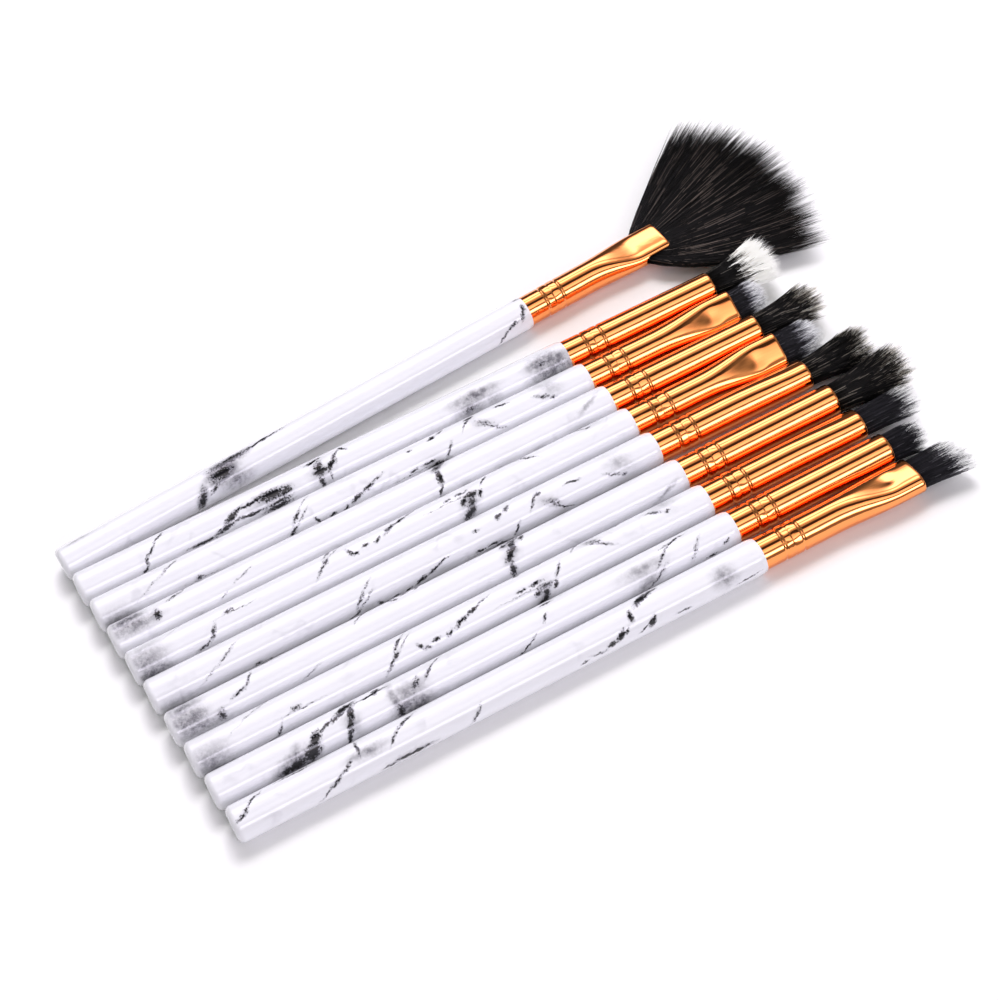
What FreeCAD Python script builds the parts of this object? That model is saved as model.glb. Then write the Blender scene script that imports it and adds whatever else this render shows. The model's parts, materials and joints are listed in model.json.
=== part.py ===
"""Ten eye make-up brushes laid side by side: marble-print handles, crimped ferrules, synthetic hair.

Each brush is a handle, a ferrule, a glue plug, the hair root inside the ferrule and the free tuft.
Millimetres. +X runs along the handles towards the hair, +Y across the row towards the fan brush,
+Z up. The brushes lie on Z = 0, and the origin is below the middle of the whole set.
"""

import FreeCAD, Part

import math
import os

from FreeCAD import Rotation, Vector

# Handle
HANDLE_LENGTH = 105.5
HANDLE_RADIUS = 3.5
BUTT_FILLET = 1.2
SHOULDER_LENGTH = 1.5
SHOULDER_DROP = 0.22
SHOULDER_BULGE = (0.42, 0.3)  # a point of its arc: share of the length from the end, share of the drop
SPIGOT_LENGTH = 15.0
SPIGOT_CHAMFER = 0.8

# Ferrule
FERRULE_LENGTH = 33.5
FERRULE_RADIUS = 3.22
FERRULE_WALL = 0.3
START_DROP = 0.06  # the stretch before the first groove is this much thinner
GROOVES = ((4.4, 0.16), (6.3, 0.06), (8.2, 0.14))  # distance from the ferrule's start, and depth
GROOVE_HALF_WIDTH = 0.45
ROUND_PART = 14.0
STEP_DOWN = 0.02
PINCH_STEPS = 6
PINCH_SHARPNESS = 1.3
OUTLINE_POINTS = 32
FLATNESS = 2.8
FIT_GAP = 0.02

# Hair
GLUE_LENGTH = 4.0
FLOOR_GAP = 0.15
DOME_STEPS = 5
BODY_STEPS = 6
DOME_FULLNESS = 2.4
LAST_SECTION = 0.985  # share of the length where the rounded end is closed off
HINGE_CLEARANCE = 0.3

# Fan: its ferrule is open at the sides, so the hair spreads between two flat lips before the mouth
LIP_LENGTH = 6.2
LIP_END_HALF_WIDTH = 3.9
SIDE_SLOT_HEIGHT = 2.1
FAN_NEAR_EDGE = ((0.0, -10.0), (24.0, -20.2))
FAN_FAR_EDGE = ((0.0, 9.8), (22.6, 25.4))
FAN_FRONT = (31.6, 5.6)
FAN_ROOT_THICKNESS = 1.9
FAN_TIP_THICKNESS = 1.6
FAN_YAW = 4.3

# Row: every brush lies a little further forward than the one before it
ROW_STEP = 0.8

# Size of the boxes and cylinders that cut the pieces, wider than any brush
CUTTER_WIDTH = 200.0

# One line per brush, from the fan side. gap: distance to the next brush's axis. mouth: width and
# height of the ferrule's mouth. roll: turn of the pinch about the brush's axis, in degrees. flat:
# length of the pinched part. tuft: free length, width, height, where its rounded end starts as a
# share of the length, and how far its tip rises.
ROUND_MOUTH = (2 * FERRULE_RADIUS, 2 * FERRULE_RADIUS)
BRUSHES = (
    dict(name="fan", gap=7.4, mouth=(8.6, 3.4), roll=0, flat=6.0, tuft=None),
    dict(name="blending", gap=7.5, mouth=ROUND_MOUTH, roll=0, flat=0, tuft=(14.2, 6.6, 8.6, 0.6, 2.2)),
    dict(name="small_shader", gap=7.4, mouth=(7.9, 4.4), roll=32, flat=4.5, tuft=(9.0, 6.8, 4.6, 0.6, 0.2)),
    dict(name="crease", gap=7.3, mouth=ROUND_MOUTH, roll=0, flat=0, tuft=(14.4, 7.0, 8.4, 0.6, 1.0)),
    dict(name="flat_shader", gap=7.7, mouth=(8.0, 4.2), roll=32, flat=5.0, tuft=(11.2, 7.6, 4.6, 0.6, 0.0)),
    dict(name="tapered", gap=8.4, mouth=(7.0, 5.8), roll=-25, flat=2.0, tuft=(15.4, 7.6, 9.4, 0.55, 0.3)),
    dict(name="large_fluffy", gap=7.7, mouth=ROUND_MOUTH, roll=0, flat=0, tuft=(16.6, 7.4, 10.4, 0.55, 0.4)),
    dict(name="definer", gap=7.9, mouth=(6.9, 5.9), roll=-25, flat=2.0, tuft=(12.4, 7.0, 5.6, 0.75, 0.0)),
    dict(name="smudge", gap=7.8, mouth=ROUND_MOUTH, roll=0, flat=0, tuft=(8.6, 6.4, 6.6, 0.65, 0.0)),
    dict(name="filbert", gap=0.0, mouth=(8.4, 4.2), roll=-10, flat=5.0, tuft=(12.0, 7.8, 4.8, 0.45, -0.7)),
)


def smooth(t):
    """Ease from 0 to 1 with level ends."""
    t = min(max(t, 0.0), 1.0)
    return t * t * (3 - 2 * t)


def revolve_edges(edges):
    """Turn a closed chain of edges in the XZ plane about the X axis."""
    return Part.Face(Part.Wire(edges)).revolve(Vector(0, 0, 0), Vector(1, 0, 0), 360)


def line(a, b):
    """Straight edge between two (x, radius) points."""
    return Part.makeLine(Vector(a[0], 0, a[1]), Vector(b[0], 0, b[1]))


def arc(a, middle, b):
    """Arc through three (x, radius) points."""
    return Part.Arc(*(Vector(x, 0, r) for x, r in (a, middle, b))).toShape()


def grooved_line(start, end, radius, centre_offset=0.0):
    """Edges along a radius from x = start to x = end, dipping at each crimp groove on the way."""
    edges, here = [], (start, radius - START_DROP)
    for place, depth in GROOVES:
        x = place + centre_offset
        before, after = (x - GROOVE_HALF_WIDTH, here[1]), (x + GROOVE_HALF_WIDTH, radius)
        edges += [line(here, before), arc(before, (x, radius - depth), after)]
        here = after
    return edges + [line(here, (end, radius))]


def make_handle():
    """Handle with its butt at x = 0, and a grooved spigot that fills the start of the ferrule."""
    r, f = HANDLE_RADIUS, BUTT_FILLET
    end, shoulder_r = HANDLE_LENGTH, HANDLE_RADIUS - SHOULDER_DROP
    spigot_r = FERRULE_RADIUS - FERRULE_WALL - FIT_GAP
    tip = end + SPIGOT_LENGTH
    corner = math.sqrt(0.5)
    shoulder_start = end - SHOULDER_LENGTH
    bulge = (end - SHOULDER_BULGE[0] * SHOULDER_LENGTH, r - SHOULDER_BULGE[1] * SHOULDER_DROP)
    edges = [
        line((0, 0), (0, r - f)),
        arc((0, r - f), (f - f * corner, r - f + f * corner), (f, r)),
        line((f, r), (shoulder_start, r)),
        arc((shoulder_start, r), bulge, (end, shoulder_r)),
        line((end, shoulder_r), (end, spigot_r - START_DROP)),
    ]
    edges += grooved_line(end, tip - SPIGOT_CHAMFER, spigot_r, centre_offset=end)
    edges += [
        line((tip - SPIGOT_CHAMFER, spigot_r), (tip, spigot_r - SPIGOT_CHAMFER)),
        line((tip, spigot_r - SPIGOT_CHAMFER), (tip, 0)),
        line((tip, 0), (0, 0)),
    ]
    return revolve_edges(edges)


def pinched_outline(x, width, height, roll):
    """Closed outline at x, round or with two near-flat sides, turned by roll degrees about the X axis."""
    stretch, r = (width - height) / 2, height / 2
    turn = Rotation(Vector(1, 0, 0), roll)
    points = []
    for step in range(OUTLINE_POINTS):
        angle = 2 * math.pi * step / OUTLINE_POINTS
        side = math.tanh(FLATNESS * math.cos(angle)) / math.tanh(FLATNESS)
        y, z = stretch * side + r * math.cos(angle), r * math.sin(angle)
        points.append(Vector(x, 0, 0) + turn.multVec(Vector(0, y, z)))
    curve = Part.BSplineCurve()
    curve.interpolate(Points=points, PeriodicFlag=True)
    return Part.Wire(curve.toShape())


def round_tube(end, radius):
    """Solid of the grooved round tube from x = 0 to x = end."""
    start_radius = radius - START_DROP
    closing = [line((end, radius), (end, 0)), line((end, 0), (0, 0)), line((0, 0), (0, start_radius))]
    return revolve_edges(grooved_line(0, end, radius) + closing)


def tube_solid(brush, radius, inset):
    """Solid of the ferrule's outer or inner surface, with the ferrule's start at x = 0."""
    if brush["flat"] == 0:
        return round_tube(FERRULE_LENGTH, radius)
    start_size = 2 * (radius - STEP_DOWN)
    width, height = (size - 2 * inset for size in brush["mouth"])
    pinch_end = FERRULE_LENGTH - brush["flat"]
    sections = []
    for step in range(PINCH_STEPS + 1):
        share = step / PINCH_STEPS
        ease = smooth(share) ** PINCH_SHARPNESS
        sections.append(pinched_outline(ROUND_PART + (pinch_end - ROUND_PART) * share,
                                        start_size + (width - start_size) * ease,
                                        start_size + (height - start_size) * ease, brush["roll"]))
    for share in (0.5, 1.0):
        sections.append(pinched_outline(pinch_end + brush["flat"] * share, width, height, brush["roll"]))
    return round_tube(ROUND_PART, radius).fuse(Part.makeLoft(sections, True))


def slab(start, end):
    """Box that is far wider than a brush, from x = start to x = end."""
    corner = Vector(start, -CUTTER_WIDTH / 2, -CUTTER_WIDTH / 2)
    return Part.makeBox(end - start, CUTTER_WIDTH, CUTTER_WIDTH, corner)


def make_inside(brush):
    """Solid of the room inside the ferrule."""
    return tube_solid(brush, FERRULE_RADIUS - FERRULE_WALL, FERRULE_WALL)


def lip_sides():
    """Two wedges that trim the sides of the fan's ferrule from the mouth back, leaving two flat lips."""
    start, past_mouth = FERRULE_LENGTH - LIP_LENGTH, FERRULE_LENGTH + FERRULE_RADIUS
    wide, half_width = 2 * FERRULE_RADIUS, BRUSHES[0]["mouth"][0] / 2
    wedges = []
    for side in (-1, 1):
        outline = flat_wire([(start, side * half_width), (past_mouth, side * LIP_END_HALF_WIDTH),
                             (past_mouth, side * wide), (start, side * wide)])
        wedge = Part.Face(outline).extrude(Vector(0, 0, 2 * wide))
        wedges.append(wedge.translated(Vector(0, 0, -wide)))
    return wedges


def side_slot():
    """Box that parts the fan's two lips at both sides, where the hair comes out."""
    wide = 4 * FERRULE_RADIUS
    corner = Vector(FERRULE_LENGTH - LIP_LENGTH, -wide / 2, -SIDE_SLOT_HEIGHT / 2)
    return Part.makeBox(2 * LIP_LENGTH, wide, SIDE_SLOT_HEIGHT, corner)


def make_ferrule(brush):
    """Thin tube with crimp grooves, and a mouth that is round or pinched."""
    tube = tube_solid(brush, FERRULE_RADIUS, 0).cut(make_inside(brush))
    return tube.cut(lip_sides() + [side_slot()]) if brush["name"] == "fan" else tube


def ellipse_section(x, width, height, roll, z):
    """Closed ellipse at x, turned by roll degrees about its own centre at height z."""
    if width >= height:
        major, minor, along = width / 2, height / 2, Vector(0, 1, 0)
    else:
        major, minor, along = height / 2, width / 2, Vector(0, 0, 1)
    along = Rotation(Vector(1, 0, 0), roll).multVec(along)
    across = Vector(1, 0, 0).cross(along)
    centre = Vector(x, 0, z)
    curve = Part.Ellipse(centre + along * major, centre + across * minor, centre)
    return Part.Wire(curve.toShape())


def tuft_sizes(brush, share):
    """Width and height of the tuft's section, share of the way from the mouth to the tip."""
    _, width, height, dome_start, _ = brush["tuft"]
    root_width, root_height = (size - 2 * FERRULE_WALL for size in brush["mouth"])
    flare = smooth(share / dome_start)
    dome = max(share - dome_start, 0) / (1 - dome_start)
    round_off = math.sqrt(max(1 - dome**DOME_FULLNESS, 0))
    return tuple((root + (belly - root) * flare) * round_off
                 for root, belly in ((root_width, width), (root_height, height)))


def make_round_tuft(brush):
    """Free hair of every brush but the fan, with its mouth end at x = 0 on the brush's axis."""
    length, _, _, dome_start, rise = brush["tuft"]
    shares = [dome_start * step / BODY_STEPS for step in range(BODY_STEPS + 1)]
    for step in range(1, DOME_STEPS + 1):
        turn = math.sin(step / DOME_STEPS * math.pi / 2)
        shares.append(dome_start + (LAST_SECTION - dome_start) * turn)
    sections = []
    for share in shares:
        w, h = tuft_sizes(brush, share)
        tilt = math.radians(brush["roll"])
        half_z = math.hypot(w * math.sin(tilt), h * math.cos(tilt)) / 2
        lowest = half_z + FLOOR_GAP - HANDLE_RADIUS
        z = max(rise * share**2, lowest)
        sections.append(ellipse_section(length * share, w, h, brush["roll"], z))
    return Part.makeLoft(sections, True)


def flat_wire(points):
    """Closed polygon through (x, y) points in the XY plane."""
    corners = [Vector(x, y, 0) for x, y in points]
    return Part.makePolygon(corners + corners[:1])


def make_fan_tuft():
    """Flat fan of hair, thinner towards its round front, with its mouth end at x = 0."""
    (near_root, near), (far_root, far) = FAN_NEAR_EDGE, FAN_FAR_EDGE
    at = [Vector(x, y, 0) for x, y in (near_root, near, FAN_FRONT, far, far_root)]
    outline = Part.Wire([
        Part.makeLine(at[0], at[1]),
        Part.Arc(at[1], at[2], at[3]).toShape(),
        Part.makeLine(at[3], at[4]),
        Part.makeLine(at[4], at[0]),
    ])
    plate = Part.Face(outline).extrude(Vector(0, 0, 2 * FAN_ROOT_THICKNESS))
    plate.translate(Vector(0, 0, -FAN_ROOT_THICKNESS))
    root, tip, reach = FAN_ROOT_THICKNESS / 2, FAN_TIP_THICKNESS / 2, FAN_FRONT[0] + FAN_TIP_THICKNESS
    side = [Vector(x, -CUTTER_WIDTH / 2, z) for x, z in ((0, -root), (reach, -tip), (reach, tip), (0, root))]
    wedge = Part.Face(Part.makePolygon(side + side[:1])).extrude(Vector(0, CUTTER_WIDTH, 0))
    return plate.common(wedge)


def make_fan_wings():
    """Flat wedge of hair that leaves the open sides of the fan's ferrule, up to its mouth."""
    start = FERRULE_LENGTH - LIP_LENGTH
    spread = [(start, LIP_END_HALF_WIDTH), (start, -LIP_END_HALF_WIDTH),
              (FERRULE_LENGTH, FAN_NEAR_EDGE[0][1]), (FERRULE_LENGTH, FAN_FAR_EDGE[0][1])]
    wings = Part.Face(flat_wire(spread)).extrude(Vector(0, 0, FAN_ROOT_THICKNESS))
    wings.translate(Vector(0, 0, -FAN_ROOT_THICKNESS / 2))
    return wings


def make_hair_root(brush):
    """Bundle of hair inside the ferrule, from the glue plug to the mouth."""
    bundle = make_inside(brush).common(slab(SPIGOT_LENGTH + GLUE_LENGTH, FERRULE_LENGTH))
    if brush["name"] == "fan":
        bundle = bundle.cut(lip_sides()).fuse(make_fan_wings()).removeSplitter()
    return bundle


def root_radius(brush):
    """Radius of the tuft's rounded mouth end, which turns in front of the ferrule."""
    if brush["tuft"] is None:
        return FAN_ROOT_THICKNESS / 2
    w, h = (size / 2 - FERRULE_WALL for size in brush["mouth"])
    tilt = math.radians(brush["roll"])
    return math.hypot(w * math.sin(tilt), h * math.cos(tilt))


def make_tuft(brush):
    """Free hair with its mouth end rounded about the hinge, so that it can bend up and down."""
    shape = make_fan_tuft() if brush["tuft"] is None else make_round_tuft(brush)
    radius = root_radius(brush)
    hinge = Vector(radius + HINGE_CLEARANCE, 0, 0)
    drum_end = hinge - Vector(0, CUTTER_WIDTH / 2, 0)
    drum = Part.makeCylinder(radius, CUTTER_WIDTH, drum_end, Vector(0, 1, 0))
    return shape.common(drum.fuse(slab(hinge.x, hinge.x + CUTTER_WIDTH)))


def place(shape, brush):
    """Turn and move a shape from the brush's own axis to its place in the row."""
    moved = shape.copy()
    moved.rotate(Vector(0, 0, 0), Vector(0, 0, 1), brush["yaw"])
    moved.translate(brush["butt"])
    return moved


def lay_out_row():
    """Give every brush its yaw and the place of its butt."""
    y = 0.0
    for number, brush in enumerate(BRUSHES):
        brush["yaw"] = FAN_YAW if brush["name"] == "fan" else 0.0
        brush["butt"] = Vector(number * ROW_STEP, y, HANDLE_RADIUS)
        y -= brush["gap"]


def make_brush(brush):
    """All five pieces of one brush, in place, as a dict of name and shape."""
    start, mouth = HANDLE_LENGTH, HANDLE_LENGTH + FERRULE_LENGTH
    glue_room = slab(SPIGOT_LENGTH, SPIGOT_LENGTH + GLUE_LENGTH)
    pieces = {
        "handle": make_handle(),
        "ferrule": make_ferrule(brush),
        "glue_plug": make_inside(brush).common(glue_room),
        "hair_root": make_hair_root(brush),
        "tuft": make_tuft(brush),
    }
    for piece, shape in pieces.items():
        if piece != "handle":
            shape.translate(Vector(mouth if piece == "tuft" else start, 0, 0))
    return {f"{brush['name']}_{piece}": place(shape, brush) for piece, shape in pieces.items()}


def hinge_point(brush):
    """Middle of the tuft's rounded mouth end, in place in the row."""
    reach = HANDLE_LENGTH + FERRULE_LENGTH + root_radius(brush) + HINGE_CLEARANCE
    return brush["butt"] + Rotation(Vector(0, 0, 1), brush["yaw"]).multVec(Vector(reach, 0, 0))


def main():
    lay_out_row()
    shapes = {}
    for brush in BRUSHES:
        shapes.update(make_brush(brush))
    box = FreeCAD.BoundBox()
    for shape in shapes.values():
        box.add(shape.optimalBoundingBox(False))
    shift = Vector(-(box.XMin + box.XMax) / 2, -(box.YMin + box.YMax) / 2, 0)
    os.makedirs("parts", exist_ok=True)
    for node, shape in shapes.items():
        shape.translate(shift)
        shape.exportStep(f"parts/{node}.step")
        print(node, shape.isValid(), len(shape.Solids), round(shape.Volume, 2))
    print("size", round(box.XLength, 3), round(box.YLength, 3), round(box.ZMin, 3), round(box.ZMax, 3))
    for brush in BRUSHES:
        print("hinge", brush["name"], hinge_point(brush) + shift, "butt", brush["butt"] + shift)


main()
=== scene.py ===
"""Looks of the ten-brush eye make-up set: marble-print handles, rose-gold ferrules and strand hair."""

import json
import math

import bmesh
import bpy
import numpy as np
from mathutils import Matrix, Vector


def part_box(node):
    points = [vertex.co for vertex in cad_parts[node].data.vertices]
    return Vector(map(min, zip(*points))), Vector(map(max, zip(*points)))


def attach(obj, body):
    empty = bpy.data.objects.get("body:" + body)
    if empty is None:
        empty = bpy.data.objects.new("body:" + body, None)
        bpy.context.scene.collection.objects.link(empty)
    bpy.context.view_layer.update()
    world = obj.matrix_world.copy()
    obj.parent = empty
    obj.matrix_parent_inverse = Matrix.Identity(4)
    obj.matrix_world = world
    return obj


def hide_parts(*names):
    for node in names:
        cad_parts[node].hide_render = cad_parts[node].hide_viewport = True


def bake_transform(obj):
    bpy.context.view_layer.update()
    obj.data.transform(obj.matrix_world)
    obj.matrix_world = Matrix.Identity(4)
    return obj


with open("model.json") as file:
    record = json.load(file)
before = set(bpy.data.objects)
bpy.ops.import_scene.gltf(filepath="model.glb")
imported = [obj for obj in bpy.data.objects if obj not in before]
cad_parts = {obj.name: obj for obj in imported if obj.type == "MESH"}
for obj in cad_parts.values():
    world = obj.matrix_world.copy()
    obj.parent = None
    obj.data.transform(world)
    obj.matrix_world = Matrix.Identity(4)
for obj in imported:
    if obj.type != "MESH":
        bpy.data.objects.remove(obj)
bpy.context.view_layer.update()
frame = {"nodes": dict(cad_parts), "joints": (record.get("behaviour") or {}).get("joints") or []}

MM = 0.001
UP = Vector((0, 0, 1))

# Ferrule, in millimetres along the brush from the ferrule's start
FERRULE_LENGTH = 33.5
FERRULE_RADIUS = 3.22
FERRULE_WALL = 0.3
START_DROP = 0.06  # how much thinner the tube is before its first groove
GROOVES = ((4.4, 0.16), (6.3, 0.06), (8.2, 0.14))  # place and depth of each crimp groove
GROOVE_HALF_WIDTH = 0.45
CRIMP_DEPTH = 0.012
CRIMP_JAWS = 12  # flats that the crimping tool leaves round the tube
ROUND_PART = 14.0  # the pinch towards a flat mouth starts after this
FLATNESS = 2.8  # how square the sides of a pinched section are
MOUTH_EDGE = ((0.04, 0.15), (0.0, 0.4), (0.0, 0.6), (0.04, 0.85))  # back from the end, share of the wall
DENT_BACK = 0.4  # middle of the pinching tool's mark, before the flat part
DENT_REACH = (2.4, 1.2, 1.4)  # its half length before and after that, and its half width
SHARP_ANGLE = 40  # edges of a ferrule sharper than this many degrees stay crisp

# Rings of a ferrule's mesh
FERRULE_SEGMENTS = 96
PLAIN_RINGS = 6
FINE_STEP = 0.12
FINE_MARGIN = 1.0
COARSE_RINGS = 48
LAST_RING_BACK = 0.15

# Fan brush: its ferrule is open at the sides, between two lips with rounded corners
LIP_LENGTH = 6.2
LIP_HALF_WIDTHS = (4.42, 4.0)  # where the lips start and at the mouth
LIP_CORNER = (1.3, 0.55)  # length and depth of their rounded corners
SIDE_SLOT_HEIGHT = 2.1
CUTTERS_END = (2.0, 3.0)  # how far past the mouth the two cutting blocks reach
CUTTERS_HALF_SIZE = (9.0, 5.0)  # sideways and up

# One line per brush, from the far side of the row. mouth: width and height of the ferrule's mouth.
# roll: turn of the pinch about the brush, in degrees. flat: length of the pinched part. dent: depth of
# the tool's mark at its start. marble: which print its handle is wrapped in, and how many degrees the
# print is turned about the handle.
ROUND_MOUTH = (2 * FERRULE_RADIUS, 2 * FERRULE_RADIUS)
BRUSHES = {
    "fan": dict(mouth=(8.6, 3.4), roll=0, flat=6.0, dent=0, marble=("band", 0)),
    "blending": dict(mouth=ROUND_MOUTH, roll=0, flat=0, dent=0, marble=("loops", 0)),
    "small_shader": dict(mouth=(7.9, 4.4), roll=32, flat=4.5, dent=0.2, marble=("dotted", -65)),
    "crease": dict(mouth=ROUND_MOUTH, roll=0, flat=0, dent=0, marble=("dotted", 95)),
    "flat_shader": dict(mouth=(8.0, 4.2), roll=32, flat=5.0, dent=0.2, marble=("dotted", 0)),
    "tapered": dict(mouth=(7.0, 5.8), roll=-25, flat=2.0, dent=0, marble=("dotted", -90)),
    "large_fluffy": dict(mouth=ROUND_MOUTH, roll=0, flat=0, dent=0, marble=("dotted", 50)),
    "definer": dict(mouth=(6.9, 5.9), roll=-25, flat=2.0, dent=0, marble=("dotted", -30)),
    "smudge": dict(mouth=ROUND_MOUTH, roll=0, flat=0, dent=0, marble=("bold", 0)),
    "filbert": dict(mouth=(8.4, 4.2), roll=-10, flat=5.0, dent=0.2, marble=("fork", 0)),
}

# Handle
HANDLE_LENGTH = 105.5
HANDLE_RADIUS = 3.5
NEAR_SIDE = 36.6  # degrees from the top of a handle to the line on it that prints are measured from
DAB_REACH = 1.8  # how far a dab fades out, in its own half sizes
PRINT_WAVER = 1.5  # how far noise pushes the print about, in millimetres
OWN_NOISE = 31.7  # how far apart two handles read the faint clouds and veins

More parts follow.
